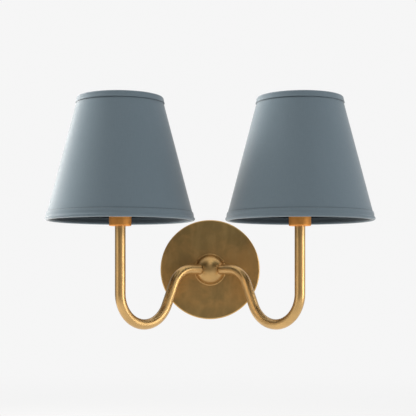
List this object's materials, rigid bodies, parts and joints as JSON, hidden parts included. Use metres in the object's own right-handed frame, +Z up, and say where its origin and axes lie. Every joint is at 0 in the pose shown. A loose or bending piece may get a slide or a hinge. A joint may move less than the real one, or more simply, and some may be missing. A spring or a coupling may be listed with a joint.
{
  "type": "double arm wall sconce",
  "caption": "Wall sconce: a round plate and domed hub carry swept tube arms, each with a cup, an upright lampholder and a tapered fabric shade that turns on it.",
  "frame": {"origin": "on the wall, at the centre of the mounting bar's back and of the wall plate", "axes": "+Z up, +X to the right as seen from the room, +Y into the wall, so the room lies towards -Y"},
  "size_m": [0.3922, 0.2121, 0.2778],
  "materials": {
    "antique_brass": "aged, satin, with a mottled brown patina",
    "plain_brass": "machined",
    "contact_brass": "bright, drawn",
    "zinc_steel": "zinc plated",
    "green_paint": "gloss green",
    "white_plastic": "moulded",
    "black_plastic": "moulded, satin",
    "lead_sheath": "smooth sheath",
    "painted_wire": "satin enamel",
    "shade_fabric": "fine plain weave, blue grey",
    "shade_trim": "folded band of the same cloth",
    "shade_lining": "matt dark blue backing sheet"
  },
  "bodies": {
    "wall_mount": {"backplate": "antique_brass", "hub_dome": "antique_brass", "hub_base": "antique_brass", "left_arm": "antique_brass", "right_arm": "antique_brass", "left_socket_cup": "antique_brass", "right_socket_cup": "antique_brass", "hub_nipple": "plain_brass", "hub_lock_washer": "plain_brass", "hub_lock_nut": "plain_brass", "arm_nipples": "plain_brass", "arm_nuts": "plain_brass", "cup_nipples": "plain_brass", "side_screws": "plain_brass", "mounting_bar": "zinc_steel", "terminal_screws": "zinc_steel", "block_screw": "zinc_steel", "ground_screw": "green_paint", "terminal_block": "white_plastic", "left_lead": "lead_sheath", "left_lampholder": "black_plastic", "left_shade_keeper": "black_plastic", "left_screw_shell": "contact_brass", "left_centre_contact": "contact_brass", "right_lead": "lead_sheath", "right_lampholder": "black_plastic", "right_shade_keeper": "black_plastic", "right_screw_shell": "contact_brass", "right_centre_contact": "contact_brass"},
    "left_shade": {"left_shade_carrier": "painted_wire", "left_shade_top_ring": "painted_wire", "left_shade_liner": "shade_lining", "left_shade_cover": "shade_fabric", "left_shade_top_trim": "shade_trim", "left_shade_bottom_trim": "shade_trim"},
    "right_shade": {"right_shade_carrier": "painted_wire", "right_shade_top_ring": "painted_wire", "right_shade_liner": "shade_lining", "right_shade_cover": "shade_fabric", "right_shade_top_trim": "shade_trim", "right_shade_bottom_trim": "shade_trim"}
  },
  "joints": [
    {"name": "left_shade_turn", "type": "hinge", "parent": "wall_mount", "child": "left_shade", "pos_m": [-0.107, -0.123, 0.086], "axis": [0, 0, 1], "continuous": true},
    {"name": "right_shade_turn", "type": "hinge", "parent": "wall_mount", "child": "right_shade", "pos_m": [0.107, -0.123, 0.086], "axis": [0, 0, 1], "continuous": true}
  ]
}
